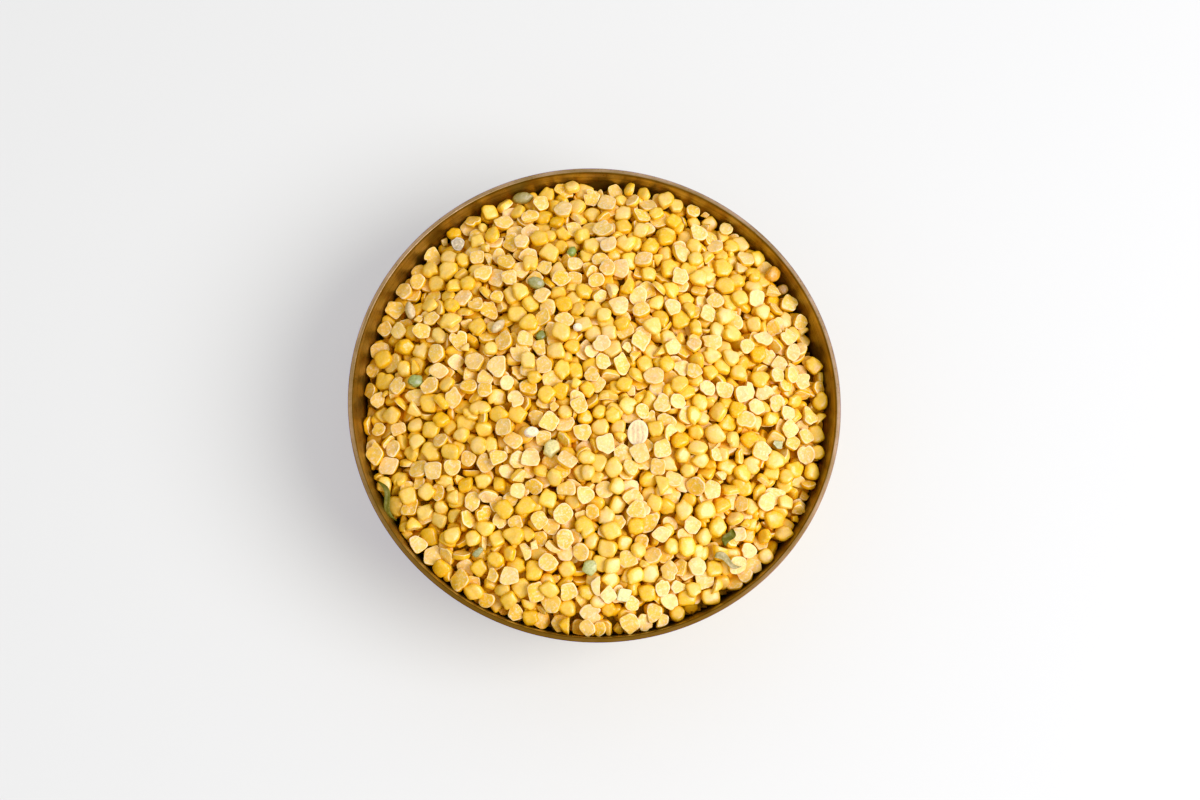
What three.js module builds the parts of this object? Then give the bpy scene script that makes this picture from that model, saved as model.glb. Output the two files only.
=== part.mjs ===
// A round brass dish heaped with split peas (dal), in millimetres, +Z up.
// The origin is the centre of the dish's flat base, on the surface that the dish stands on.
// The dish is one turned wall of even thickness: a flat base, a round corner and a straight flared side
// that ends in a flat lip. The heap is one solid that fills the dish and rises over the lip. Its top is a
// low mound, as lumpy as loose peas lie, and it meets the side higher in some places than in others.
import * as THREE from "three";

// Dish
const LIP_RADIUS = 75; // of the outer surface at the lip
const HEIGHT = 42; // from the base to the lip
const WALL = 1.3;
const FLARE = THREE.MathUtils.degToRad(12.5); // how far the side leans out from the vertical
const CORNER_RADIUS = 10; // of the outer surface, between the base and the side
const LIP_CHAMFER = 0.15; // on both edges of the lip

// Heap
const GAP = 0.3; // between the heap and the dish, all over
const CROWN = 9; // the smooth mound's middle above the lip
const MOUND_DROP = 15; // from the middle down to the mean level at the side
const MOUND_TILT = 1.3; // how much higher the side's level is towards +X, and lower towards -X
const MOUND_BEND = 1.9; // how much higher it is on two opposite sides, and lower on the two between
const BEND_AZIMUTH = THREE.MathUtils.degToRad(95); // of one of those two high sides
const LUMP_HEIGHT = 1.1; // how far a lump rises or falls from the smooth mound
const LUMP_PITCH = 6.5; // from one lump to the next
const LUMP_FADE = 4; // the lumps die out over this distance from the side

// Facets
const SEGMENTS = 96; // round the axis
const CORNER_STEPS = 6;
const MOUND_RINGS = 22;

// Radius, at height z, of the side's outer surface moved in by inset along its normal.
function sideRadius(z, inset) {
  return LIP_RADIUS - (HEIGHT - z) * Math.tan(FLARE) - inset / Math.cos(FLARE);
}

// The base and the corner, from the axis out to where the side begins, moved in by inset.
function baseAndCorner(inset) {
  const centreRadius = sideRadius(CORNER_RADIUS, CORNER_RADIUS);
  const radius = CORNER_RADIUS - inset;
  const axisPoint = new THREE.Vector2(0, inset);
  const arc = Array.from({ length: CORNER_STEPS + 1 }, (_, step) => {
    const angle = THREE.MathUtils.lerp(-Math.PI / 2, -FLARE, step / CORNER_STEPS);
    return new THREE.Vector2(
      centreRadius + radius * Math.cos(angle),
      CORNER_RADIUS + radius * Math.sin(angle),
    );
  });
  return [axisPoint, ...arc];
}

// Turns a profile of (radius, height) points about the Z axis.
function turned(profile) {
  return new THREE.LatheGeometry(profile, SEGMENTS).rotateX(Math.PI / 2);
}

function dishGeometry() {
  const edge = HEIGHT - LIP_CHAMFER;
  const lip = [
    new THREE.Vector2(sideRadius(edge, 0), edge),
    new THREE.Vector2(sideRadius(HEIGHT, LIP_CHAMFER), HEIGHT),
    new THREE.Vector2(sideRadius(HEIGHT, WALL - LIP_CHAMFER), HEIGHT),
    new THREE.Vector2(sideRadius(edge, WALL), edge),
  ];
  return turned([...baseAndCorner(0), ...lip, ...baseAndCorner(WALL).reverse()]);
}

// A fixed pseudo-random value from -1 to 1 for each point of a square lattice.
function latticeValue(column, row) {
  const scattered = Math.sin(column * 127.1 + row * 311.7) * 43758.5453;
  return 2 * (scattered - Math.floor(scattered)) - 1;
}

// The lattice's values blended smoothly over the plane, with lattice points LUMP_PITCH apart.
function lump(x, y) {
  const column = Math.floor(x / LUMP_PITCH);
  const row = Math.floor(y / LUMP_PITCH);
  const across = THREE.MathUtils.smoothstep(x / LUMP_PITCH - column, 0, 1);
  const along = THREE.MathUtils.smoothstep(y / LUMP_PITCH - row, 0, 1);
  const blendRow = (r) =>
    THREE.MathUtils.lerp(latticeValue(column, r), latticeValue(column + 1, r), across);
  return THREE.MathUtils.lerp(blendRow(row), blendRow(row + 1), along);
}

// Height of the smooth mound. share is 0 on the axis and 1 at the side.
function moundHeight(share, azimuth) {
  const tilt = MOUND_TILT * share * Math.cos(azimuth);
  const bend = MOUND_BEND * share ** 2 * Math.cos(2 * (azimuth - BEND_AZIMUTH));
  return HEIGHT + CROWN - MOUND_DROP * share ** 2 + tilt + bend;
}

// The heap is first turned with a flat top. The points of the top then move up or down to the lumpy
// mound, and those near its edge in or out as well, so that the edge follows the flared side.
function heapGeometry() {
  const inset = WALL + GAP;
  const flatTop = HEIGHT + CROWN - MOUND_DROP;
  const edgeRadius = sideRadius(flatTop, inset);
  const top = Array.from(
    { length: MOUND_RINGS + 1 },
    (_, ring) => new THREE.Vector2(edgeRadius * (1 - ring / MOUND_RINGS), flatTop),
  );
  const geometry = turned([...baseAndCorner(inset), ...top]);
  const position = geometry.getAttribute("position");
  for (let i = 0; i < position.count; i += 1) {
    if (position.getZ(i) < flatTop - GAP) continue;
    const x = position.getX(i);
    const y = position.getY(i);
    const azimuth = Math.atan2(y, x);
    const radius = Math.hypot(x, y);
    const share = Math.min(radius / edgeRadius, 1);
    const fade = Math.min((edgeRadius - radius) / LUMP_FADE, 1);
    const edgeShift = sideRadius(moundHeight(1, azimuth), inset) / edgeRadius - 1;
    const stretch = 1 + edgeShift * share ** 4;
    const height = moundHeight(share, azimuth) + LUMP_HEIGHT * fade * lump(x, y);
    position.setXYZ(i, x * stretch, y * stretch, height);
  }
  geometry.computeVertexNormals();
  return geometry;
}

function piece(name, geometry, look) {
  const mesh = new THREE.Mesh(geometry, new THREE.MeshStandardMaterial(look));
  mesh.name = name;
  return mesh;
}

const filledDish = new THREE.Group();
filledDish.add(
  piece("dish", dishGeometry(), { color: 0x9c7440, roughness: 0.42, metalness: 1 }),
  piece("dal_heap", heapGeometry(), { color: 0xedbe58, roughness: 0.6, metalness: 0 }),
);

export default filledDish;
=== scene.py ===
"""A round brass dish heaped with dry split peas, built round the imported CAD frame.

The CAD's heap is one solid. Here it becomes loose peas, laid one by one over a smaller core until
they reach the solid's surface, and then joined into one mesh for each kind of pea. The CAD's dish
becomes a finer turned mesh of the same profile. All lengths are in metres, +Z is up.
"""

import math
from collections import defaultdict

import bmesh
import bpy
import numpy as np
from mathutils import Matrix, Vector
from mathutils.bvhtree import BVHTree


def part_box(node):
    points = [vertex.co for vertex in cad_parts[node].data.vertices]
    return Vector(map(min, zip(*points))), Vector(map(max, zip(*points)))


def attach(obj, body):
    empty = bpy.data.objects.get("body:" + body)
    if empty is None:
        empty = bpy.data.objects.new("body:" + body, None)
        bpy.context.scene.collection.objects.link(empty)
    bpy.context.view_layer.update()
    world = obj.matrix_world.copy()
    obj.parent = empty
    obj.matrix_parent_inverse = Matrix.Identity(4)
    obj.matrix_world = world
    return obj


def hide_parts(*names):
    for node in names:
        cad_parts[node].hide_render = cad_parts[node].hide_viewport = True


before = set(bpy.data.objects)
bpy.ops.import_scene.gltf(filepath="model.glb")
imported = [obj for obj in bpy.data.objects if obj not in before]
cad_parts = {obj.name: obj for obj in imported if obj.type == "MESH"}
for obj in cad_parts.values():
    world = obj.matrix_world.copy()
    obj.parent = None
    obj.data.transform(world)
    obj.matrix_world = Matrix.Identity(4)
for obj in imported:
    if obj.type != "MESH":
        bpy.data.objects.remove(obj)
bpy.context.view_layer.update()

MM = 0.001
TURN = 2 * math.pi

# The dish, as the CAD turns it
LIP_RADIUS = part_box("dish")[1].y  # 0.03 mm under the CAD's, because its lip has broken edges
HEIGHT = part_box("dish")[1].z
WALL = 1.3 * MM
FLARE = math.radians(12.5)
CORNER_RADIUS = 10 * MM
LIP_CHAMFER = 0.15 * MM

# Peas
PEA_DIAMETER = 5.1 * MM
PEA_LAYER = 7.0 * MM  # depth of loose peas over the core
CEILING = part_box("dal_heap")[1].z  # no pea stands higher than the CAD's heap
SEED = 20

rng = np.random.default_rng(SEED)


def direction(azimuth, elevation):
    level = math.cos(elevation)
    return Vector((math.cos(azimuth) * level, math.sin(azimuth) * level, math.sin(elevation)))


def side_radius(z, inset):
    """Radius, at height z, of the side's outer surface moved in by inset along its normal."""
    return LIP_RADIUS - (HEIGHT - z) * math.tan(FLARE) - inset / math.cos(FLARE)


# ---- The CAD heap's surface ----

DEEPEST_EDGE = 14 * MM  # the heap's edge lies nowhere this far below the lip
EDGE_MARGIN = 1.5 * MM  # between the wall there and the outermost place looked up


def heap_surface():
    """A function that gives the height of the CAD heap's top over a point."""
    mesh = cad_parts["dal_heap"].data
    tree = BVHTree.FromPolygons(
        [v.co for v in mesh.vertices], [p.vertices for p in mesh.polygons]
    )
    edge = side_radius(HEIGHT - DEEPEST_EDGE, WALL) - EDGE_MARGIN
    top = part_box("dal_heap")[1].z + MM

    def height(x, y):
        shrink = min(1.0, edge / max(math.hypot(x, y), 1e-9))
        return tree.ray_cast(Vector((x * shrink, y * shrink, top)), Vector((0, 0, -1)))[0].z

    return height


heap_height = heap_surface()


# ---- Shapes of peas ----

class Kind:
    """How the peas of one kind are made. Each pair is the range of a size."""

    def __init__(self, share, size, thick, flats, flat_at, wobble=0.02, beak=(0, 0), nick=(0, 0),
                 crisp=8.0, halves=False):
        self.share = share  # of all the peas
        self.size = size  # diameter, in PEA_DIAMETERs
        self.thick = thick  # thickness, in diameters
        self.flats = flats  # how many straight stretches the outline has
        self.flat_at = flat_at  # their distance from the middle, in radii
        self.wobble = wobble  # unevenness of the outline
        self.beak = beak  # how far a point stands out of the outline, in radii
        self.nick = nick  # how deep a nick is cut into the outline, in radii
        self.crisp = crisp  # how sharply the flats meet the rest
        self.halves = halves  # whether the first flat is a break through the pea


KINDS = {
    "peas_round": Kind(0.24, (0.82, 1.08), (0.34, 0.47), (0, 2), (0.82, 0.95), 0.026),
    "peas_square": Kind(0.16, (0.92, 1.16), (0.31, 0.41), (4, 4), (0.76, 0.90), 0.030, crisp=6.5),
    "peas_angled": Kind(0.18, (0.88, 1.18), (0.31, 0.41), (3, 5), (0.72, 0.92), 0.034),
    "peas_beaked": Kind(0.13, (0.86, 1.12), (0.31, 0.42), (1, 3), (0.76, 0.94), 0.030,
                        (0.12, 0.32)),
    "peas_nicked": Kind(0.13, (0.94, 1.22), (0.29, 0.40), (1, 4), (0.76, 0.93), 0.030, (0, 0.08),
                        (0.18, 0.42)),
    "peas_broken": Kind(0.11, (0.88, 1.18), (0.31, 0.42), (1, 3), (0.05, 0.60), 0.030, crisp=18.0,
                        halves=True),
    "pea_chips": Kind(0.05, (0.45, 0.78), (0.34, 0.56), (2, 4), (0.45, 0.85), 0.045, crisp=18.0,
                      halves=True),
}

# Profile of a split pea, from the middle of its cut face (height 0) out to its edge and on over the
# dome (height 1), as (share of the radius, share of the thickness).
PROFILE = np.array([
    (0.45, 0.0), (0.80, 0.0), (0.950, 0.004), (0.983, 0.045), (1.0, 0.14), (1.0, 0.34),
    (0.968, 0.54), (0.89, 0.72), (0.75, 0.86), (0.53, 0.95), (0.26, 0.99),
])
COARSE_PROFILE = np.array([
    (0.60, 0.0), (0.94, 0.005), (1.0, 0.20), (0.99, 0.50), (0.90, 0.80), (0.55, 0.97),
])
HULL_PROFILE = np.array([(0.95, 0.0), (1.0, 0.3), (0.90, 0.80), (0.50, 1.0)])
SEGMENTS = 26
COARSE_SEGMENTS = 14
HULL_SEGMENTS = 10
OUTLINE_STEPS = 180


def bell(angle, at, width):
    off = (angle - at + math.pi) % TURN - math.pi
    return np.exp(-((off / width) ** 2))


class Pea:
    """One pea's shape and colouring, drawn at random for its kind."""

    def __init__(self, name, **given):
        kind = KINDS[name]
        self.kind = name
        self.tint = None
        self.ribs = 0.0
        self.crisp = kind.crisp
        self.halves = kind.halves
        self.radius = 0.5 * PEA_DIAMETER * rng.uniform(*kind.size)
        self.thickness = 2 * self.radius * rng.uniform(*kind.thick)
        self.stretch = rng.uniform(1.0, 1.10)
        self.wobble = kind.wobble * rng.normal(size=7) * (1, 1, 0.9, 0.8, 0.7, 0.6, 0.5)
        self.phases = rng.uniform(0, TURN, 7)
        self.spots = rng.uniform(0, TURN, 3)
        self.beak = rng.uniform(*kind.beak), rng.uniform(0.20, 0.34)
        self.nick = rng.uniform(*kind.nick), rng.uniform(0.20, 0.42)
        self.dent = rng.uniform(0.0, 0.12), rng.uniform(0.14, 0.30)
        count = rng.integers(kind.flats[0], kind.flats[1] + 1)
        apart = TURN / max(count, 3)
        self.flat_angles = rng.uniform(0, TURN) + apart * (
            np.arange(count) + rng.uniform(-0.17, 0.17, count)
        )
        self.flat_at = rng.uniform(*kind.flat_at, count)
        if kind.halves:
            self.flat_at[1:] = rng.uniform(0.55, 0.95, max(count - 1, 0))
        self.hollow = rng.uniform(0.0, 0.05)
        self.cup = rng.uniform(-0.08, 0.12)
        self.lean = rng.uniform(-0.20, 0.20, 2)
        self.warp = rng.uniform(-0.07, 0.07)
        self.ripple = rng.uniform(0.02, 0.09), rng.uniform(0, TURN)
        self.tone = rng.normal(0.5, 0.26)
        self.dull = max(0.0, rng.normal(-0.7, 0.6))
        self.shade = rng.normal(0.0, 1.0)
        self.bruise = max(0.0, rng.normal(0.1, 0.3))
        self.centre = np.zeros(2)
        self.angles = np.linspace(0, TURN, OUTLINE_STEPS, endpoint=False)
        if not kind.halves:
            outline = self.reach(np.ones((1, 1)), self.angles)[0][0]
            self.radius /= math.sqrt((outline ** 2).mean())
        for label, value in given.items():
            setattr(self, label, value)
        self.centre = self.rings(HULL_PROFILE[1:2], self.angles)[0, :, :2].mean(0)

    def reach(self, share, angle):
        """Outline radius, in radii, for shares of the radius (rows) at angles.

        The second result is how far a break, and not the outline, sets it.
        """
        outline = 1 + sum(
            w * np.cos((k + 2) * angle + p)
            for k, (w, p) in enumerate(zip(self.wobble, self.phases))
        )
        outline += self.beak[0] * bell(angle, self.spots[0], self.beak[1])
        outline -= self.nick[0] * bell(angle, self.spots[1], self.nick[1])
        outline -= self.dent[0] * bell(angle, self.spots[2], self.dent[1])
        reach = share * outline[None]
        broken = np.zeros_like(reach)
        for n, (flat, at) in enumerate(zip(self.flat_angles, self.flat_at)):
            hollowed = at - self.hollow * bell(angle, flat, 0.35)
            near = (reach / (hollowed / np.maximum(np.cos(angle - flat), 1e-3))) ** self.crisp
            if self.halves and n == 0:
                broken = near / (1 + near)
            reach = reach * (1 + near) ** (-1 / self.crisp)
        return reach, broken

    def spread_angles(self, count):
        """Angles that share out the outline's length and bends evenly."""
        reach = self.reach(np.ones((1, 1)), self.angles)[0][0]
        loop = np.stack([reach * np.cos(self.angles), reach * np.sin(self.angles)], 1)
        steps = np.roll(loop, -1, 0) - loop
        heading = np.unwrap(np.arctan2(steps[:, 1], steps[:, 0]))
        bend = np.abs(np.diff(heading, append=heading[0] + TURN))
        cost = np.concatenate([[0], np.cumsum(np.hypot(*steps.T) + 0.5 * bend)])
        around = np.append(self.angles, TURN)
        return np.interp(np.arange(count) * cost[-1] / count, cost, around)

    def rings(self, profile, angle):
        """Points (ring, segment, xyz) of the pea's surface, about its middle."""
        reach = self.reach(profile[:, :1], angle)[0]
        x = self.radius * reach * np.cos(angle) * self.stretch
        y = self.radius * reach * np.sin(angle) / self.stretch
        height = np.repeat(profile[:, 1:], len(angle), axis=1)
        along, across = x / self.radius, y / self.radius
        z = height * (1 + self.lean[0] * along + self.lean[1] * across)
        z = z - self.cup * (1 - profile[:, :1] ** 2) * (1 - height)
        z = z + self.ripple[0] * np.sin(4.2 * along + self.ripple[1]) * np.cos(3.1 * across)
        z = self.thickness * (z - 0.42) + self.warp * self.radius * (along ** 2 - across ** 2)
        return np.stack([x - self.centre[0], y - self.centre[1], z], -1)

    def hull(self):
        return self.rings(HULL_PROFILE, self.spread_angles(HULL_SEGMENTS)).reshape(-1, 3)


# ---- Laying the peas one by one ----

CELL = 0.4 * MM  # of the grid that keeps the heap's height while it grows
MISSES = 400  # the heap is full once this many peas in a row would stand out of it
# The peas fill the heap, then more are strewn over it and along the wall. Each entry is how many
# places are looked at, how far a pea may stand out of the CAD's heap, and from what share of the
# wall's radius outwards the places are.
ROUNDS = [(24, 0.4 * MM, 0.0), (3, 1.9 * MM, 0.0), (4, 1.6 * MM, 0.93)]
SINK = 0.9 * MM  # how far the highest points of the heap may reach into a pea that lies on them
SINK_SHARE = 0.09  # of the pea's points, which may be reached into
LEAN_COST = 0.34 * MM  # how much height a pea gives up to lie level, for each radian squared
STEEP_SHARE = 0.45  # of the peas, which come to rest at a steep angle
STEEP = math.radians(22), math.radians(78)
WALL_GAP = 0.15 * MM  # left between the wall and a pea against it
WALL_PULL = 2.2 * MM  # a pea nearer the wall than this lies against it
WALL_SLACK = 0.1 * MM  # more than that gap which a pea against the wall may leave
WALL_DIP = 0.7 * MM  # how much lower the peas by the wall lie
WALL_DIP_FROM = 62 * MM  # the radius where they begin to
WALL_DIP_WIDTH = 8 * MM  # and how much further out they lie lowest
EDGE_DROP = 6 * MM  # how far below the lip the heap meets the wall, on average
FLOOR_BUMPS = 0.3 * MM  # how uneven the ground is that the lowest peas lie on
LOOK_RADIUS = 1.7 * MM  # round a place, within which its room is looked up
SPENT_RADIUS = 1.2 * MM  # round a place where a pea didn't fit
SPENT_COST = 1.5 * MM  # how much less room such a place then seems to have
KEPT_CLEAR = 0.62  # how much of an odd pea's length and width no other pea covers
KEPT_CLEAR_DEPTH = 3 * MM  # how far the heap seems overfull there
SETTLING_STEPS = 7  # in which a pea tilts and slides
LEAN_STEP = math.radians(14)  # of the first ones
WALL_STEPS = 4  # in which it then moves against the wall or off it
STEEP_SINK = 1.7  # how many times deeper a steep pea may be reached into
REST_GAP = 0.02 * MM  # left between a pea and what it lies on
# The rings of a pea's points that feel the heap and the wall, given as in PROFILE
SKIN = np.array([
    (0.12, 0.0), (0.30, 0.0), (0.46, 0.0), (0.62, 0.0), (0.78, 0.0), (0.92, 0.0), (1.0, 0.18),
    (1.0, 0.42), (0.96, 0.66), (0.86, 0.85), (0.72, 0.93), (0.56, 0.97), (0.40, 0.99), (0.24, 1.0),
    (0.08, 1.0),
])
SKIN_SEGMENTS = 44
EIGHT_WAYS = np.array([(math.cos(k * math.pi / 4), math.sin(k * math.pi / 4)) for k in range(8)])
AROUND = np.concatenate([np.zeros((1, 2)), EIGHT_WAYS])
SPOT = np.concatenate([0.5 * AROUND, EIGHT_WAYS])  # points spread over a disc


def leaned(leans):
    """Rotations that lean a level pea. Each row of leans is an angle about X and one about Y."""
    size = np.maximum(np.hypot(leans[:, 0], leans[:, 1]), 1e-9)
    ax, ay = leans[:, 0] / size, leans[:, 1] / size
    c, s = np.cos(size), np.sin(size)
    zero = np.zeros_like(ax)
    return np.stack([
        np.stack([c + ax * ax * (1 - c), ax * ay * (1 - c), ay * s], -1),
        np.stack([ax * ay * (1 - c), c + ay * ay * (1 - c), -ax * s], -1),
        np.stack([-ay * s, ax * s, c + zero], -1),
    ], 1)


class Heap:
    """The growing heap: the height of its top over each cell of a square grid."""

    def __init__(self, top, depth):
        self.half = int(LIP_RADIUS / CELL) + 4
        steps = np.arange(-self.half, self.half + 1) * CELL
        self.finished = np.array([[top(x, y) for y in steps] for x in steps])
        bumps = np.random.default_rng(SEED + 2).uniform(-1, 1, self.finished.shape)
        self.height = self.finished - depth + FLOOR_BUMPS * bumps
        self.spent = np.zeros_like(self.height)  # counts against places where a pea didn't fit
        radius = np.hypot(steps[:, None], steps[None])
        self.finished -= WALL_DIP * np.clip((radius - WALL_DIP_FROM) / WALL_DIP_WIDTH, 0, 1)
        self.inside = radius < side_radius(np.minimum(self.finished, HEIGHT), WALL)

    def cells(self, x, y):
        """The grid's cells that places lie in."""
        limit = 2 * self.half
        i = np.clip(np.rint(x / CELL).astype(int) + self.half, 0, limit)
        j = np.clip(np.rint(y / CELL).astype(int) + self.half, 0, limit)
        return i, j

    def roomiest(self, tries, from_share):
        """The place, of a few at random, where the heap is furthest below the finished one."""
        reach = side_radius(HEIGHT - EDGE_DROP, WALL) - MM
        radius = reach * np.sqrt(rng.uniform(from_share ** 2, 1, tries))
        angle = TURN * rng.random(tries)
        places = np.stack([radius * np.cos(angle), radius * np.sin(angle)], 1)
        ring = places[:, None] + LOOK_RADIUS * SPOT
        i, j = self.cells(ring[..., 0], ring[..., 1])
        room = (self.finished - self.height - self.spent)[i, j]
        inside = self.inside[i, j]
        return places[np.argmax((room * inside).sum(1) / np.maximum(inside.sum(1), 1))]

    def keep_clear(self, shape):
        """Lets no pea be laid over a shape."""
        i, j = self.cells(shape[:, 0], shape[:, 1])
        self.finished[i, j] = self.height[i, j] - KEPT_CLEAR_DEPTH

    def spend(self, place):
        """Makes it less likely that a place is tried again."""
        spot = place + SPENT_RADIUS * SPOT
        self.spent[self.cells(spot[:, 0], spot[:, 1])] += SPENT_COST

    def rest(self, shape, places, sink):
        """Heights at which a shape, or each of a stack of shapes, lies on the heap at places."""
        i, j = self.cells(shape[..., 0] + places[:, :1], shape[..., 1] + places[:, 1:])
        touch = self.height[i, j] - shape[..., 2]
        last = int(SINK_SHARE * touch.shape[-1])
        return np.maximum(np.partition(touch, -last - 1)[..., -last - 1], touch.max(-1) - sink)

    def add(self, shape):
        """Raises the heap's top to a shape that has been laid."""
        i, j = self.cells(shape[:, 0], shape[:, 1])
        np.maximum.at(self.height, (i, j), shape[:, 2])


def lay_pea(heap, pea, place, cut_up=None, spin=None):
    """Finds how a pea comes to rest near a place, or at that place if its spin is given.

    Returns its rotation, its centre and the points of its skin.
    """
    shifts = spin is None
    if shifts:
        spin = rng.uniform(0, TURN)
        cut_up = rng.random() < 0.5
    flip = math.pi * cut_up
    level = np.array(Matrix.Rotation(spin, 3, "Z") @ Matrix.Rotation(flip, 3, "X"))
    skin = pea.rings(SKIN, pea.spread_angles(SKIN_SEGMENTS)).reshape(-1, 3) @ level.T
    sparse = skin[::3]
    steep = shifts and rng.random() < STEEP_SHARE
    sink = (STEEP_SINK if steep else 1.0) * SINK
    lean = rng.uniform(*STEEP) * EIGHT_WAYS[rng.integers(8)] if steep else np.zeros(2)
    lean_step = LEAN_STEP
    shift_step = 2 * CELL
    for _ in range(SETTLING_STEPS):
        leans = lean + (0 if steep else lean_step) * AROUND
        heights = heap.rest(np.einsum("nij,pj->npi", leaned(leans), sparse), place[None], sink)
        best = int(np.argmin(heights + LEAN_COST * (leans ** 2).sum(1)))
        lean = leans[best]
        shape = sparse @ leaned(lean[None])[0].T
        places = place + shift_step * shifts * AROUND
        i, j = heap.cells(places[:, 0], places[:, 1])
        shift = int(np.argmin(heap.rest(shape[None], places, sink) - heap.finished[i, j]))
        place = places[shift]
        if best == 0 and shift == 0:
            lean_step *= 0.5
            shift_step = CELL
    tilt = leaned(lean[None])[0]
    shape = skin @ tilt.T
    for _ in range(WALL_STEPS):
        z = heap.rest(shape, place[None], sink)[0] + REST_GAP
        radius = np.hypot(shape[:, 0] + place[0], shape[:, 1] + place[1])
        over = (radius - side_radius(np.minimum(shape[:, 2] + z, HEIGHT), WALL) + WALL_GAP).max()
        if over < -WALL_PULL or -WALL_SLACK < over <= 0:
            break
        place = place * (1 - (over + 0.5 * WALL_SLACK) / np.hypot(*place))
    centre = np.array([*place, z])
    return tilt @ level, centre, shape + centre


def draw_pea():
    """A pea of a kind drawn by the kinds' shares."""
    names = list(KINDS)
    shares = np.array([KINDS[n].share for n in names])
    return Pea(names[rng.choice(len(names), p=shares / shares.sum())])


class Odd:
    """A pea or seed unlike the rest, where the real heap shows it.

    Places and sizes are in millimetres. Its length lies at an angle, in degrees, to the X axis.
    """

    def __init__(self, x, y, angle, kind, long, wide, thick, tint=None, cut_up=True, **given):
        self.place = np.array([x, y]) * MM
        self.spin = math.radians(angle)
        self.cut_up = cut_up
        radius, stretch = 0.5 * math.sqrt(long * wide) * MM, math.sqrt(long / wide)
        given.update(radius=radius, stretch=stretch, thickness=thick * MM, tint=tint)
        self.pea = Pea(kind, **given)


def seed(x, y, angle, long, wide, thick, tint, point=0.0):
    """A whole small seed: a smooth oval, drawn out to a point at one end."""
    smooth = dict(wobble=np.zeros(7), flat_angles=[], flat_at=[], nick=(0.0, 0.3), dent=(0.0, 0.3),
                  spots=np.zeros(3), beak=(point, 0.35), lean=(0.0, 0.0), warp=0.0, shade=0.0)
    return Odd(x, y, angle, "peas_round", long, wide, thick, tint, cut_up=False, **smooth)


RIBBED_PLACE = 12.0, -13.4  # of the pale seed with ribs, in millimetres


def odd_peas():
    """The ribbed seed, seeds, peas and chips of an odd colour, and three unusual split peas."""
    ribbed = seed(*RIBBED_PLACE, 82, 8.0, 6.2, 2.2, (0.84, 0.59, 0.24))
    ribbed.cut_up, ribbed.pea.ribs = True, 1.0
    return [
        ribbed,
        seed(-23.3, 66.3, 4, 6.3, 3.7, 2.7, (0.43, 0.36, 0.12), 0.16),
        seed(-18.7, 34.3, -12, 5.3, 3.7, 2.4, (0.35, 0.33, 0.10)),
        seed(-7.7, 45.6, 66, 4.4, 2.7, 2.2, (0.26, 0.34, 0.06), 0.12),
        seed(-30.1, 20.4, 48, 5.4, 2.9, 2.2, (0.70, 0.52, 0.20), 0.10),
        seed(-57.2, 27.6, 105, 5.6, 2.9, 2.2, (0.70, 0.53, 0.21), 0.10),
        Odd(-43.2, 49.9, 20, "peas_round", 4.5, 4.2, 1.8, (0.42, 0.33, 0.13)),
        Odd(-54.8, 4.1, 0, "peas_angled", 5.2, 4.5, 2.0, (0.27, 0.31, 0.07), cut_up=False),
        seed(-19.7, -13.5, 10, 4.4, 3.1, 2.2, (0.96, 0.84, 0.56)),
        Odd(-13.6, -18.2, 60, "peas_round", 6.0, 4.6, 2.2, (0.78, 0.68, 0.22), cut_up=False),
        seed(-6.1, 19.0, 0, 2.8, 2.4, 1.9, (0.96, 0.85, 0.60)),
        Odd(-2.0, -53.3, 80, "peas_round", 5.0, 4.4, 1.9, (0.52, 0.52, 0.15), cut_up=False),
        Odd(8.0, -60.7, 30, "peas_angled", 5.4, 4.6, 1.9, (0.68, 0.66, 0.22)),
        Odd(60.2, 38.4, 0, "peas_round", 3.6, 3.3, 2.0, (0.55, 0.31, 0.09), cut_up=False),
        Odd(57.0, 42.5, 50, "peas_round", 5.4, 4.8, 2.4, (0.80, 0.36, 0.03), cut_up=False),
        Odd(-34.9, -48.1, 40, "pea_chips", 4.2, 2.6, 1.4, (0.42, 0.42, 0.15), cut_up=False),
        Odd(55.6, -13.8, 0, "pea_chips", 3.8, 3.3, 1.4, (0.50, 0.50, 0.17)),
        Odd(-17.1, 17.2, 70, "pea_chips", 4.0, 2.8, 1.4, (0.27, 0.31, 0.07), cut_up=False),
        Odd(-9.1, -22.3, -25, "peas_nicked", 7.7, 5.6, 2.2, bruise=2.6, tone=0.6, dull=0.0,
            cup=0.16),
        Odd(-58.3, 15.6, 0, "peas_round", 5.6, 5.4, 3.3, tone=-0.9, dull=0.0, cut_up=False),
        Odd(6.5, 26.4, 45, "peas_angled", 7.5, 6.9, 2.2, tone=0.9, dull=0.1),
    ]


def lay_peas():
    """Lays the whole heap. Returns its peas, their rotations and centres, and the heap."""
    heap = Heap(heap_height, PEA_LAYER)
    peas, rotations, centres = [], [], []

    def take(pea, rotation, centre, shape):
        heap.add(shape)
        peas.append(pea)
        rotations.append(rotation)
        centres.append(centre)

    pea = draw_pea()
    for n, (tries, most_over, from_share) in enumerate(ROUNDS):
        misses = 0
        while misses < MISSES:
            place = heap.roomiest(tries, from_share)
            laid = rotation, centre, shape = lay_pea(heap, pea, place)
            over = (shape[:, 2] - heap.finished[heap.cells(shape[:, 0], shape[:, 1])]).max()
            if over > most_over or shape[:, 2].max() > CEILING:
                misses += 1
                heap.spend(place)
                continue
            misses = 0
            take(pea, *laid)
            pea = draw_pea()
        heap.spent[:] = 0
        if n > 0:
            continue
        for odd in odd_peas():
            laid = rotation, centre, shape = lay_pea(heap, odd.pea, odd.place, odd.cut_up, odd.spin)
            take(odd.pea, *laid)
            heap.keep_clear(centre + KEPT_CLEAR * (shape - centre))
    return peas, np.array(rotations), np.array(centres), heap


peas, rotations, centres, heap = lay_peas()


# ---- Joined meshes ----

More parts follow.
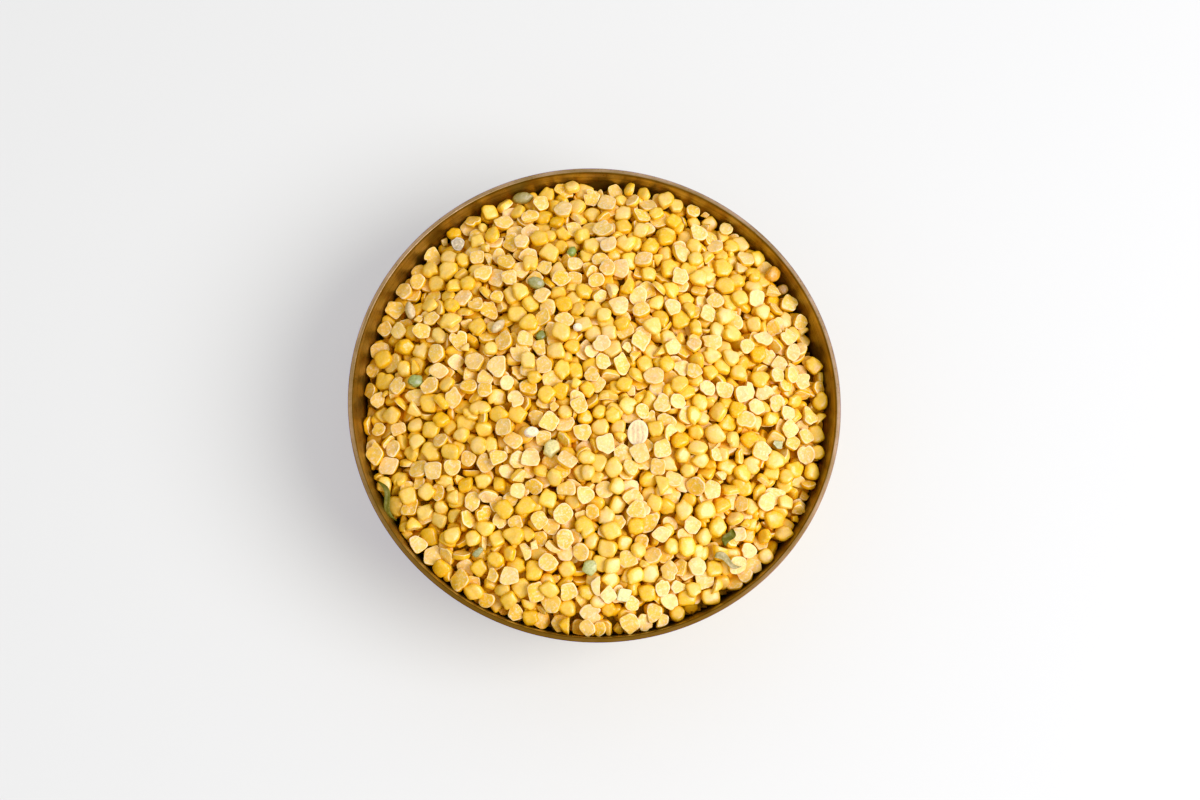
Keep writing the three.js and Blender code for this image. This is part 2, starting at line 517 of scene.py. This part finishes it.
def mesh_of(name, points, faces, smooth=True):
    mesh = bpy.data.meshes.new(name)
    mesh.from_pydata([tuple(p) for p in points], [], [tuple(f) for f in faces])
    mesh.update()
    mesh.polygons.foreach_set("use_smooth", np.full(len(faces), smooth))
    return mesh


def linked(name, mesh):
    thing = bpy.data.objects.new(name, mesh)
    bpy.context.scene.collection.objects.link(thing)
    return thing


class Mould:
    """The faces of a pea's mesh at one fineness: quads between rings, and a fan at each end."""

    def __init__(self, profile, segments):
        self.profile, self.segments = profile, segments
        rings = len(profile)
        self.size = rings * segments + 2
        radius, height = profile.T
        on_face = height < 0.1

        def for_points(rings, face_end, dome_end):
            return np.concatenate([np.repeat(rings, segments), [face_end, dome_end]]).astype(float)

        self.cut = for_points(height < 0.03, 1, 0)  # whether a point lies on the cut face
        self.edge = for_points(on_face & (radius > 0.9), 0, 0)  # or on that face's rim
        self.middle = for_points(np.where(on_face, 1 - radius ** 2, 0), 1, 0)  # how near its middle
        # The band round a pea's side, which is painted darker as shade
        self.side_shade = for_points(np.clip(1 - np.abs(height - 0.45) / 0.5, 0, 1) ** 0.6, 0, 0)
        face_pole, dome_pole = self.size - 2, self.size - 1
        self.faces = []
        for s in range(segments):
            t = (s + 1) % segments
            self.faces.append((face_pole, t, s))
            for r in range(0, (rings - 1) * segments, segments):
                self.faces.append((r + s, r + t, r + segments + t, r + segments + s))
            last = (rings - 1) * segments
            self.faces.append((last + s, last + t, dome_pole))
        self.map = self.disc_map()

    def disc_map(self):
        """Each face corner's place on a map of two discs, for the cut face and the dome."""
        steps = np.diff(self.profile * (1, 0.7), axis=0, prepend=[(0, 0)])
        along = np.cumsum(np.hypot(*steps.T))
        seam = int(np.argmax(self.profile[:, 1] > 0.1))
        end = along[-1] + self.profile[-1, 0]
        angle = TURN * np.arange(self.segments) / self.segments
        way = np.tile(np.stack([np.cos(angle), np.sin(angle)], 1), (len(along), 1))
        out = np.repeat(along, self.segments)[:, None]
        on_face = np.concatenate([way * out / along[seam], np.zeros((2, 2))])
        on_dome = np.concatenate([way * (end - out) / (end - along[seam]), np.zeros((2, 2))])
        corners = []
        for face in self.faces:
            rings = [v // self.segments for v in face if v < self.size - 2]
            dome = max(rings) > seam or self.size - 1 in face
            for v in face:
                u, w = (on_dome if dome else on_face)[v]
                corners.append(((0.75 if dome else 0.25) + 0.235 * u, 0.5 + 0.47 * w))
        return np.array(corners)

    def points(self, pea):
        """A pea's points about its middle, and how far each lies on a break."""
        angle = pea.spread_angles(self.segments)
        rings = pea.rings(self.profile, angle).reshape(-1, 3)
        ends = np.array([(1e-3, 0.0), (1e-3, 1.0)])
        poles = pea.rings(ends, angle).mean(1)
        broken = pea.reach(self.profile[:, :1], angle)[1].ravel()
        return np.concatenate([rings, poles]), np.concatenate([broken, [0, 0]])


FINE = Mould(PROFILE, SEGMENTS)
COARSE = Mould(COARSE_PROFILE, COARSE_SEGMENTS)
HULL = Mould(HULL_PROFILE, HULL_SEGMENTS)


FINE_FROM = 0.10  # how well a pea is seen that has the fine mesh
COARSE_FROM = 0.03  # and the coarse one
LOOKS = ((65, 6), (40, 8), (20, 6))  # elevation and number of the lines of sight besides the one up
BLUR = 4  # cells each way, to blur the peas away
SHADE_DEPTH_FROM, SHADE_DEPTH_TO = 0.4 * MM, 3.4 * MM  # the depths below the blurred top over which the painted shade between the peas deepens


def how_seen():
    """For each pea, the share of its points' lines of sight that miss the other peas."""
    points, faces = [], []
    for pea, rotation, centre in zip(peas, rotations, centres):
        shape = HULL.points(pea)[0]
        start = len(points)
        points.extend(map(Vector, shape @ rotation.T + centre))
        faces.extend(tuple(start + k for k in face) for face in HULL.faces)
    tree = BVHTree.FromPolygons(points, faces)
    looks = [Vector((0, 0, 1))]
    for elevation, count in LOOKS:
        for azimuth in np.arange(count) * (TURN / count):
            looks.append(direction(azimuth, math.radians(elevation)))
    seen = []
    for pea, rotation, centre in zip(peas, rotations, centres):
        points = 1.02 * pea.hull()[::2] @ rotation.T + centre
        free = sum(tree.ray_cast(Vector(p), look)[0] is None for p in points for look in looks)
        seen.append(free / (len(points) * len(looks)))
    return np.array(seen)


def heap_top(heap):
    """The heap's height with its peas blurred away, as a function of places."""
    blurred = heap.height.copy()
    outside = blurred < heap.finished - 0.8 * PEA_LAYER
    blurred[outside] = heap.finished[outside]
    for axis in (0, 1):
        blurred = sum(np.roll(blurred, k, axis) for k in range(-BLUR, BLUR + 1)) / (2 * BLUR + 1)
    return lambda points: blurred[heap.cells(points[:, 0], points[:, 1])]


def joined(name, members):
    """One mesh of all the members. Each point keeps its pea's colouring."""
    points, faces, tints, corners = [], [], [], []
    across = math.ceil(math.sqrt(len(members) / 2))
    down = math.ceil(len(members) / across)
    values = defaultdict(list)
    total = 0
    for n, i in enumerate(members):
        pea = peas[i]
        mould = FINE if seen[i] > FINE_FROM else COARSE if seen[i] > COARSE_FROM else HULL
        shape, broken = mould.points(pea)
        shape = shape @ rotations[i].T + centres[i]
        shape[:, 2] -= max(shape[:, 2].max() - CEILING, 0)
        points.append(shape)
        faces += [tuple(k + total for k in face) for face in mould.faces]
        total += mould.size
        values["cut"].append(np.maximum(mould.cut, broken))
        values["edge"].append(mould.edge)
        values["middle"].append(mould.middle)
        values["side_shade"].append(mould.side_shade * (1 - broken))
        for label in ("tone", "dull", "shade", "bruise", "ribs"):
            values[label].append(np.full(mould.size, getattr(pea, label)))
        corners.append((mould.map + (n % across, n // across)) / (across, down))
        tints.append(np.tile((*(pea.tint or (1, 1, 1)), 1), (mould.size, 1)))
    points = np.concatenate(points)
    mesh = mesh_of(name, points, faces)
    layer = mesh.uv_layers.new(name="OFBake")
    layer.uv.foreach_set("vector", np.concatenate(corners).astype(np.float32).ravel())
    # How far each point lies below the blurred top, which sets the painted shade between the peas
    below = top_of(points) - points[:, 2]
    values["deep"] = [np.clip((below - SHADE_DEPTH_FROM) / (SHADE_DEPTH_TO - SHADE_DEPTH_FROM), 0, 1)]
    for label, parts in values.items():
        attribute = mesh.attributes.new(label, "FLOAT", "POINT")
        attribute.data.foreach_set("value", np.concatenate(parts).astype(np.float32))
    if name == "odd_peas":
        attribute = mesh.attributes.new("tint", "FLOAT_COLOR", "POINT")
        attribute.data.foreach_set("color", np.concatenate(tints).astype(np.float32).ravel())
    return linked(name, mesh)


seen = how_seen()
top_of = heap_top(heap)
pieces = []
for kind_name in KINDS:
    members = [i for i, pea in enumerate(peas) if pea.kind == kind_name and not pea.tint]
    pieces.append(joined(kind_name, members))
odd_piece = joined("odd_peas", [i for i, pea in enumerate(peas) if pea.tint])


# ---- Husks ----

HUSK_THICKNESS = 0.18 * MM


def make_husk(name, start, end, width, curl, lift, widest=0.5):
    """A thin husk that lies on the peas from start to end, curled across and bent along its length.

    Lengths are in millimetres, and widest is the share of the length at which it is widest.
    """
    start, end = np.array(start) * MM, np.array(end) * MM
    along = end - start
    side = np.array([-along[1], along[0]]) / np.hypot(*along)
    stations, ribs = 15, 7
    outer, inner = [], []
    middle = np.array([start + t * along for t in np.linspace(0, 1, stations)])
    i, j = heap.cells(middle[:, 0], middle[:, 1])
    ground = np.array([heap.height[a - 1:a + 2, b - 1:b + 2].max() for a, b in zip(i, j)])
    fit = np.polyfit(np.arange(stations), ground, 2)
    bed = np.polyval(fit, np.arange(stations))
    bed += 0.5 * (ground - bed).max() + lift * MM
    for n, t in enumerate(np.linspace(0, 1, stations)):
        share = min(max(t, 0.03), 0.97) ** (math.log(0.5) / math.log(widest))
        half = 0.5 * width * MM * math.sin(math.pi * share) ** 0.7
        bow = 0.10 * np.hypot(*along) * math.sin(TURN * t)
        for u in np.linspace(-1, 1, ribs):
            flat = middle[n] + side * (half * u + bow)
            z = bed[n] + curl * MM * (u * u) * math.cos(2.2 * t)
            z += 0.12 * MM * math.sin(9 * t + 2 * u)
            outer.append((*flat, z + 0.5 * HUSK_THICKNESS))
            inner.append((*flat, z - 0.5 * HUSK_THICKNESS))
    count = len(outer)
    faces = []
    for n in range(stations - 1):
        for r in range(ribs - 1):
            a, b = n * ribs + r, (n + 1) * ribs + r
            faces.append((a, b, b + 1, a + 1))
            faces.append((count + a, count + a + 1, count + b + 1, count + b))
    rim = [n * ribs for n in range(stations)] + [(stations - 1) * ribs + r for r in range(1, ribs)]
    rim += [n * ribs + ribs - 1 for n in range(stations - 2, -1, -1)] + list(range(ribs - 2, 0, -1))
    faces += [(count + a, count + b, b, a) for a, b in zip(rim, rim[1:] + rim[:1])]
    return linked(name, mesh_of(name, outer + inner, faces))


husks = [
    make_husk("husk_by_wall", (-65.4, -26.2), (-59.6, -37.2), 2.0, 0.4, 0.5),
    make_husk("husk_green", (40.6, -40.6), (38.2, -46.0), 2.9, 0.9, 0.4),
]
pale_husk = make_husk("husk_pale", (35.0, -49.2), (43.2, -51.9), 2.3, 0.7, 0.4, 0.28)


# ---- Core and dish ----

CORE_CELLS = 150
CORE_DEPTH = PEA_LAYER - 1.2 * MM  # of its top under the CAD's heap
CORE_BUMPS = 0.9 * MM
CORE_GAP = 0.4 * MM  # between its top and the dish
CORE_BOTTOM = 12 * MM  # its height over the table
CORE_BOTTOM_GAP = 0.5 * MM
LIP_WAVE = 0.03 * MM  # how uneven the lip is, all of it inwards


def core_sheet():
    """Points and faces of a square sheet under the loose peas."""
    bumps = np.random.default_rng(SEED + 1)
    steps = np.linspace(-LIP_RADIUS, LIP_RADIUS, CORE_CELLS)
    points = [
        (x, y, heap_height(x, y) - CORE_DEPTH + CORE_BUMPS * bumps.uniform(-1, 1))
        for x in steps for y in steps
    ]
    faces = [
        (a, a + CORE_CELLS, a + CORE_CELLS + 1, a + 1)
        for row in range(CORE_CELLS - 1)
        for a in range(row * CORE_CELLS, row * CORE_CELLS + CORE_CELLS - 1)
    ]
    return points, faces


def make_core():
    """The sheet, cut to the dish, with sides down to a flat bottom."""
    points, faces = core_sheet()
    keep = [math.hypot(p[0], p[1]) < side_radius(p[2], WALL) - CORE_GAP for p in points]
    faces = [f for f in faces if all(keep[k] for k in f)]
    mesh = mesh_of("heap_core", points, faces, smooth=False)
    work = bmesh.new()
    work.from_mesh(mesh)
    bmesh.ops.delete(work, geom=[v for v in work.verts if not v.link_faces], context="VERTS")
    edge = [e for e in work.edges if e.is_boundary]
    reach = side_radius(CORE_BOTTOM, WALL) - CORE_BOTTOM_GAP
    for v in bmesh.ops.extrude_edge_only(work, edges=edge)["geom"]:
        if isinstance(v, bmesh.types.BMVert):
            share = reach / math.hypot(v.co.x, v.co.y)
            v.co = Vector((v.co.x * share, v.co.y * share, CORE_BOTTOM))
    bmesh.ops.contextual_create(work, geom=[e for e in work.edges if e.is_boundary])
    bmesh.ops.recalc_face_normals(work, faces=work.faces)
    # The sides are made in another order on every run, so all is sorted by its place.
    places = lambda v: v.co[:], lambda f: f.calc_center_median()[:]
    for parts, place in zip((work.verts, work.faces), places):
        order = {part: n for n, part in enumerate(sorted(parts, key=place))}
        parts.sort(key=order.get)
    work.to_mesh(mesh)
    work.free()
    return linked("heap_core", mesh)


def arc(centre, radius, start, end, steps):
    angles = np.linspace(start, end, steps)
    return [(centre[0] + radius * math.cos(a), centre[1] + radius * math.sin(a)) for a in angles]


def dish_profile():
    """The dish's closed outline as (radius, height), from under the base round to its inside."""
    corner = (side_radius(CORNER_RADIUS, CORNER_RADIUS), CORNER_RADIUS)
    outside = arc(corner, CORNER_RADIUS, -math.pi / 2, -FLARE, 14)
    inside = arc(corner, CORNER_RADIUS - WALL, -FLARE, -math.pi / 2, 14)
    edge = HEIGHT - LIP_CHAMFER
    outer_side = [(side_radius(z, 0), z) for z in np.linspace(CORNER_RADIUS, edge, 10)[1:]]
    inner_side = [(side_radius(z, WALL), z) for z in np.linspace(edge, CORNER_RADIUS, 14)[:-1]]
    lip = [
        (side_radius(HEIGHT, LIP_CHAMFER * 0.4), HEIGHT - LIP_CHAMFER * 0.35),
        (side_radius(HEIGHT, LIP_CHAMFER), HEIGHT),
        (side_radius(HEIGHT, WALL - LIP_CHAMFER), HEIGHT),
        (side_radius(HEIGHT, WALL - LIP_CHAMFER * 0.4), HEIGHT - LIP_CHAMFER * 0.35),
    ]
    base_out = [(r, 0.0) for r in np.linspace(corner[0] / 6, corner[0], 6)[:-1]]
    base_in = [(r, WALL) for r in np.linspace(corner[0], corner[0] / 6, 6)[1:]]
    return base_out + outside + outer_side + lip + inner_side + inside + base_in


def make_dish(segments=256):
    """The dish's outline turned about its axis."""
    profile = dish_profile()
    count = len(profile)
    points = []
    for i in range(segments):
        angle = TURN * i / segments
        wave = LIP_WAVE * (math.sin(2 * angle + 0.7) + 0.7 * math.sin(3 * angle + 2.1) - 1.7)
        for radius, z in profile:
            out = radius + wave * (z / HEIGHT) ** 2
            points.append((out * math.cos(angle), out * math.sin(angle), z))
    low, high = len(points), len(points) + 1
    points += [(0, 0, 0), (0, 0, WALL)]
    faces = []
    for i in range(segments):
        a, b = i * count, (i + 1) % segments * count
        faces += [(a + k, b + k, b + k + 1, a + k + 1) for k in range(count - 1)]
        faces.append((a, low, b))
        faces.append((a + count - 1, b + count - 1, high))
    mesh = mesh_of("brass_dish", points, faces)
    mesh.set_sharp_from_angle(angle=math.radians(20))
    return linked("brass_dish", mesh)


core = make_core()
dish = make_dish()


# ---- Materials ----

class Nodes:
    """Builds a material's node tree."""

    def __init__(self, name):
        self.material = bpy.data.materials.new(name)
        self.material.use_nodes = True
        self.tree = self.material.node_tree
        self.shader = next(n for n in self.tree.nodes if n.type == "BSDF_PRINCIPLED")

    def add(self, kind, inputs=None, **settings):
        node = self.tree.nodes.new("ShaderNode" + kind)
        for key, value in settings.items():
            setattr(node, key, value)
        for key, value in (inputs or {}).items():
            self.plug(node.inputs[key], value)
        return node

    def plug(self, socket, value):
        if isinstance(value, bpy.types.NodeSocket):
            self.tree.links.new(value, socket)
        else:
            socket.default_value = value

    def set(self, **values):
        for key, value in values.items():
            self.plug(self.shader.inputs[key.replace("_", " ")], value)

    def value(self, name):
        return self.add("Attribute", attribute_name=name).outputs["Fac"]

    def place(self):
        return self.add("TexCoord").outputs["Object"]

    def noise(self, scale, detail=3.0, roughness=0.55, vector=None):
        inputs = {"Scale": scale, "Detail": detail, "Roughness": roughness,
                  "Vector": vector or self.place()}
        return self.add("TexNoise", inputs).outputs["Fac"]

    def ramp(self, factor, stops):
        node = self.add("ValToRGB", {"Fac": factor})
        ramp = node.color_ramp
        while len(ramp.elements) < len(stops):
            ramp.elements.new(0.5)
        for element, (at, colour) in zip(ramp.elements, stops):
            element.position = at
            element.color = (*colour, 1)
        return node.outputs["Color"]

    def mix(self, factor, a, b, blend="MIX"):
        a, b = ((*c, 1) if isinstance(c, tuple) else c for c in (a, b))
        inputs = {0: factor, 6: a, 7: b}
        return self.add("Mix", inputs, data_type="RGBA", blend_type=blend).outputs[2]

    def math(self, operation, a, b=0.0, clamp=False):
        return self.add("Math", {0: a, 1: b}, operation=operation, use_clamp=clamp).outputs[0]

    def times(self, value, *others, clamp=False):
        for other in others:
            value = self.math("MULTIPLY", value, other, clamp)
        return value

    def between(self, value, low, high, from_low=0.0, from_high=1.0):
        inputs = {"Value": value, "From Min": from_low, "From Max": from_high,
                  "To Min": low, "To Max": high}
        return self.add("MapRange", inputs).outputs["Result"]

    def bump(self, height, strength, distance, normal=None):
        inputs = {"Height": height, "Strength": strength, "Distance": distance}
        if normal is not None:
            inputs["Normal"] = normal
        return self.add("Bump", inputs).outputs["Normal"]


def finish_pea(m, colour, cut):
    """Adds what all peas share: chalky patches, mottling, the shade between them and gloss."""
    deep = m.value("deep")
    chalk = m.between(m.noise(1250, 4, 0.65), 0.0, 0.46, 0.50, 0.64)
    colour = m.mix(m.times(chalk, m.between(cut, 0.30, 1.0)), colour, (0.96, 0.83, 0.52))
    patches = m.between(m.noise(480, 3), 0.88, 1.06, 0.3, 0.7)
    grain = m.between(m.noise(2600, 3), 0.93, 1.04, 0.3, 0.7)
    shade = m.between(m.value("shade"), 0.93, 1.06, -2, 2)
    inputs = {0: colour, "Scale": m.times(shade, patches, grain)}
    scaled = m.add("VectorMath", inputs, operation="SCALE")
    # Painted shade between the peas: the deeper a point lies, the darker and more orange it is
    # painted
    colour = m.mix(m.times(deep, 0.92), scaled.outputs[0], (0.98, 0.42, 0.004))
    fine = m.bump(m.noise(3600, 4), 0.30, 0.05 * MM)
    rough = m.bump(m.noise(850, 3), m.between(cut, 0.40, 0.85), 0.18 * MM, fine)
    m.set(Base_Color=colour, Roughness=m.between(cut, 0.31, 0.46), Normal=rough,
          Specular_IOR_Level=0.45, Subsurface_Weight=0.10, Subsurface_Radius=(1.0, 0.55, 0.15),
          Subsurface_Scale=0.4 * MM)
    return m.material


# From the deepest tone to the palest, for a pea's side, painted darker as shade, its dome and its
# cut face
SHADED_SIDE_TONES = [(0.0, (0.83, 0.40, 0.002)), (0.5, (0.88, 0.47, 0.008)), (1.0, (0.91, 0.53, 0.03))]
DOME_TONES = [(0.0, (0.85, 0.465, 0.010)), (0.5, (0.90, 0.56, 0.065)), (1.0, (0.92, 0.615, 0.155))]
FACE_TONES = [(0.0, (0.88, 0.53, 0.035)), (0.5, (0.90, 0.585, 0.095)), (1.0, (0.92, 0.65, 0.20))]


def pea_material():
    m = Nodes("split_pea")
    cut, edge, middle = m.value("cut"), m.value("edge"), m.value("middle")
    side_shade, tone = m.value("side_shade"), m.value("tone")
    side = m.ramp(tone, SHADED_SIDE_TONES)
    dome = m.ramp(tone, DOME_TONES)
    face = m.ramp(tone, FACE_TONES)
    # The side band takes the darker tones: painted shade against the paler dome
    colour = m.mix(side_shade, m.mix(cut, dome, face), side)
    bruise = m.times(middle, m.value("bruise"), clamp=True)
    colour = m.mix(m.times(bruise, 0.75), colour, (0.80, 0.42, 0.09))
    # A paler rim round the cut face: partly a worn, chipped edge and partly a painted highlight
    rim = m.times(edge, m.between(m.noise(260, 2), 0.3, 1.0, 0.35, 0.6))
    colour = m.mix(rim, colour, (0.96, 0.73, 0.34))
    dull = m.times(m.value("dull"), 0.8, clamp=True)
    colour = m.mix(dull, colour, (0.83, 0.59, 0.125))
    return finish_pea(m, colour, cut)


RIBS_END = 4.8 * MM  # from the middle of the ribbed seed to where its ribs would meet


def odd_material():
    m = Nodes("odd_pea")
    tint = m.add("Attribute", attribute_name="tint").outputs["Color"]
    mottle = m.between(m.noise(1400, 4), 0.0, 0.45, 0.42, 0.62)
    colour = m.mix(mottle, tint, m.mix(1.0, tint, (0.55, 0.52, 0.42), "MULTIPLY"))
    cut, edge, middle = m.value("cut"), m.value("edge"), m.value("middle")
    x, y, _ = m.add("SeparateXYZ", {"Vector": m.place()}).outputs
    # The ribs run the length of the seed and draw together towards its ends.
    along = m.math("DIVIDE", m.math("SUBTRACT", y, RIBBED_PLACE[1] * MM), RIBS_END)
    narrows = m.math("SQRT", m.math("SUBTRACT", 1.0, m.times(along, along), clamp=True))
    across = m.math("SUBTRACT", x, RIBBED_PLACE[0] * MM)
    across = m.math("DIVIDE", across, m.math("MAXIMUM", narrows, 0.3))
    ribs = m.add("TexWave", {"Vector": m.add("CombineXYZ", {"X": across, "Y": y}).outputs[0],
                             "Scale": 215, "Distortion": 3.4, "Detail": 2.0, "Detail Scale": 1.6})
    pale = m.between(ribs.outputs["Fac"], 0.0, 0.75, 0.25, 0.9)
    streaks = m.math("ADD", pale, m.between(middle, 0.9, 0.0, 0.1, 0.5))
    ribbed = m.times(m.times(streaks, m.value("ribs")), cut, clamp=True)
    colour = m.mix(ribbed, colour, (0.93, 0.76, 0.40))
    # A paler rim round the cut face: partly a worn edge and partly a painted highlight
    colour = m.mix(m.times(edge, 0.35), colour, (0.93, 0.84, 0.62))
    return finish_pea(m, colour, cut)


def husk_material(name, dark, middle, light):
    m = Nodes(name)
    streaks = m.noise(700, 4, 0.7)
    colour = m.ramp(streaks, [(0.3, dark), (0.55, middle), (0.75, light)])
    m.set(Base_Color=colour, Roughness=0.55, Normal=m.bump(streaks, 0.5, 0.15 * MM),
          Specular_IOR_Level=0.2)
    return m.material


def shade_core_material():
    m = Nodes("heap_core")
    # Dark brown all over: a painted shade for the depths among the peas
    m.set(Base_Color=m.ramp(m.noise(500), [(0.3, (0.25, 0.10, 0.008)), (0.7, (0.42, 0.20, 0.02))]),
          Roughness=0.7, Normal=m.bump(m.noise(600), 0.8, 0.6 * MM))
    return m.material


DARK_REFLECTION_AZIMUTH = math.radians(264)  # of the middle of the lip's dark stretch, a painted dark reflection
SMEAR_LENGTH = 6 * MM  # the radius that the wall's way round is shrunk to, which draws smears out
INNER_EDGE = side_radius(HEIGHT, WALL)  # the radius of the lip's inner edge
PATINA = [(0.32, (0.36, 0.23, 0.10)), (0.52, (0.48, 0.315, 0.15)), (0.72, (0.56, 0.385, 0.20))]


def brass_material():
    m = Nodes("turned_brass")
    x, y, z = m.add("SeparateXYZ", {"Vector": m.place()}).outputs
    radius = m.math("SQRT", m.math("ADD", m.times(x, x), m.times(y, y)))
    turned = m.add("CombineXYZ", {"X": radius, "Z": z}).outputs[0]
    lines = m.noise(4200, 2, vector=turned)
    patina = m.noise(110, 5, 0.65)
    colour = m.ramp(patina, PATINA)
    dark = m.between(lines, 0.0, 0.6, 0.48, 0.66)
    colour = m.mix(dark, colour, (0.15, 0.08, 0.02))
    around = [m.times(m.math("DIVIDE", c, radius), SMEAR_LENGTH) for c in (x, y)]
    level = m.math("ADD", z, radius)
    drawn_out = m.add("CombineXYZ", {"X": around[0], "Y": around[1], "Z": level}).outputs[0]
    smears = m.noise(900, 5, 0.6, drawn_out)
    colour = m.mix(m.between(smears, 0.0, 0.6, 0.50, 0.68), colour, (0.22, 0.125, 0.04))
    by_lip = m.between(z, 0.0, 1.0, HEIGHT - 1.2 * MM, HEIGHT - 0.4 * MM)
    # The lip is painted darker on the side facing the camera: a painted dark reflection
    dark_way = m.math("ADD", m.times(x, math.cos(DARK_REFLECTION_AZIMUTH)),
                      m.times(y, math.sin(DARK_REFLECTION_AZIMUTH)))
    dark_reflection_side = m.between(m.math("DIVIDE", dark_way, radius), 0.0, 0.88, 0.15, 0.85)
    colour = m.mix(m.times(by_lip, dark_reflection_side), colour, (0.15, 0.065, 0.010))
    inner_edge = m.between(radius, 1.0, 0.0, INNER_EDGE, INNER_EDGE + 0.3 * MM)
    colour = m.mix(m.times(by_lip, inner_edge, 0.6), colour, (0.10, 0.055, 0.016))
    specks = m.between(m.noise(1500, 2), 0.0, 0.7, 0.62, 0.72)
    colour = m.mix(specks, colour, (0.12, 0.07, 0.03))
    # The outside, which the photo doesn't show, is plain and smoother.
    outwards = m.math("SUBTRACT", radius, m.times(z, math.tan(FLARE)))
    outside = m.between(outwards, 0.0, 1.0, side_radius(0, 0.6 * WALL), side_radius(0, 0.4 * WALL))
    outside = m.math("MAXIMUM", outside, m.between(z, 1.0, 0.0, CORNER_RADIUS, CORNER_RADIUS + MM))
    outside = m.times(outside, m.math("SUBTRACT", 1.0, by_lip))
    plain = m.ramp(m.noise(45, 4, 0.6), [(0.35, (0.58, 0.37, 0.125)), (0.65, (0.70, 0.48, 0.19))])
    plain = m.mix(m.between(lines, 0.0, 0.30, 0.50, 0.70), plain, (0.34, 0.19, 0.05))
    plain = m.mix(m.times(specks, 0.4), plain, (0.25, 0.14, 0.04))
    roughness = m.between(m.noise(420, 4), 0.38, 0.52, 0.3, 0.7)
    m.set(Base_Color=m.mix(outside, colour, plain), Metallic=1.0,
          Roughness=m.math("SUBTRACT", roughness, m.times(outside, 0.15)),
          Normal=m.bump(lines, 0.35, 0.02 * MM))
    return m.material


def dress(thing, material, node):
    thing.data.materials.append(material)
    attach(thing, "root")
    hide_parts(node)


dal = pea_material()
for piece in pieces:
    dress(piece, dal, "dal_heap")
dress(odd_piece, odd_material(), "dal_heap")
green = husk_material("green_husk", (0.06, 0.056, 0.006), (0.14, 0.13, 0.02), (0.30, 0.26, 0.07))
for piece in husks:
    dress(piece, green, "dal_heap")
pale = husk_material("pale_husk", (0.22, 0.18, 0.05), (0.42, 0.34, 0.12), (0.66, 0.54, 0.24))
dress(pale_husk, pale, "dal_heap")
dress(core, shade_core_material(), "dal_heap")
dress(dish, brass_material(), "dish")


# ---- Stage ----

def make_floor():
    corners = [(-3, -3, 0), (3, -3, 0), (3, 3, 0), (-3, 3, 0)]
    floor = linked("floor", mesh_of("floor", corners, [(0, 1, 2, 3)], smooth=False))
    m = Nodes("pale_floor")
    m.set(Base_Color=(0.45, 0.45, 0.455, 1), Roughness=0.9, Emission_Color=(1, 1, 1, 1),
          Emission_Strength=0.28)
    floor.data.materials.append(m.material)


def make_light(name, azimuth, elevation, distance, size, power):
    lamp = bpy.data.lights.new(name, "AREA")
    lamp.shape = "DISK"
    lamp.size = size
    lamp.energy = power
    thing = linked(name, lamp)
    way = direction(math.radians(azimuth), math.radians(elevation))
    thing.location = way * distance
    thing.rotation_euler = (-way).to_track_quat("-Z", "Y").to_euler()


def make_world(strength):
    world = bpy.data.worlds.new("studio")
    world.use_nodes = True
    background = world.node_tree.nodes["Background"]
    background.inputs["Color"].default_value = (1, 1, 1, 1)
    background.inputs["Strength"].default_value = strength
    bpy.context.scene.world = world


# The camera's place, which makes the lip the ellipse that the photo shows with a 50 mm lens
CAMERA_DISTANCE = 505.8 * MM
CAMERA_TILT = math.radians(16.58)  # from straight down
CAMERA_AZIMUTH = math.radians(-100.59)
AIM = Vector((1.13 * MM, -1.33 * MM, HEIGHT))


def make_camera():
    lens = bpy.data.cameras.new("camera")
    lens.lens = 50
    lens.sensor_width = 36
    camera = linked("camera", lens)
    flat = CAMERA_DISTANCE * math.sin(CAMERA_TILT)
    camera.location = Vector((
        flat * math.cos(CAMERA_AZIMUTH),
        flat * math.sin(CAMERA_AZIMUTH),
        HEIGHT + CAMERA_DISTANCE * math.cos(CAMERA_TILT),
    ))
    ahead = (AIM - camera.location).normalized()
    right = ahead.cross(Vector((0, 1, 0))).normalized()
    up = right.cross(ahead)
    camera.rotation_euler = Matrix((right, up, -ahead)).transposed().to_euler()
    bpy.context.scene.camera = camera


# A tone curve for blue, set against the photo: weaker in the shade and stronger in the
# light, as (before, after). Above it blue stays as it is.
BLUE_CURVE = [
    (0.012, 0.003), (0.034, 0.019), (0.08, 0.078), (0.16, 0.20), (0.24, 0.33), (0.36, 0.45),
    (0.50, 0.53), (0.7, 0.7),
]


def set_view():
    view = bpy.context.scene.view_settings
    view.view_transform = "Standard"
    view.use_curve_mapping = True
    blue = view.curve_mapping.curves[2]
    for before, after in BLUE_CURVE:
        blue.points.new(before, after)
    view.curve_mapping.update()


make_floor()
make_light("key", azimuth=-18, elevation=48, distance=1.4, size=1.05, power=20.2)
make_world(0.73)
make_camera()
set_view()
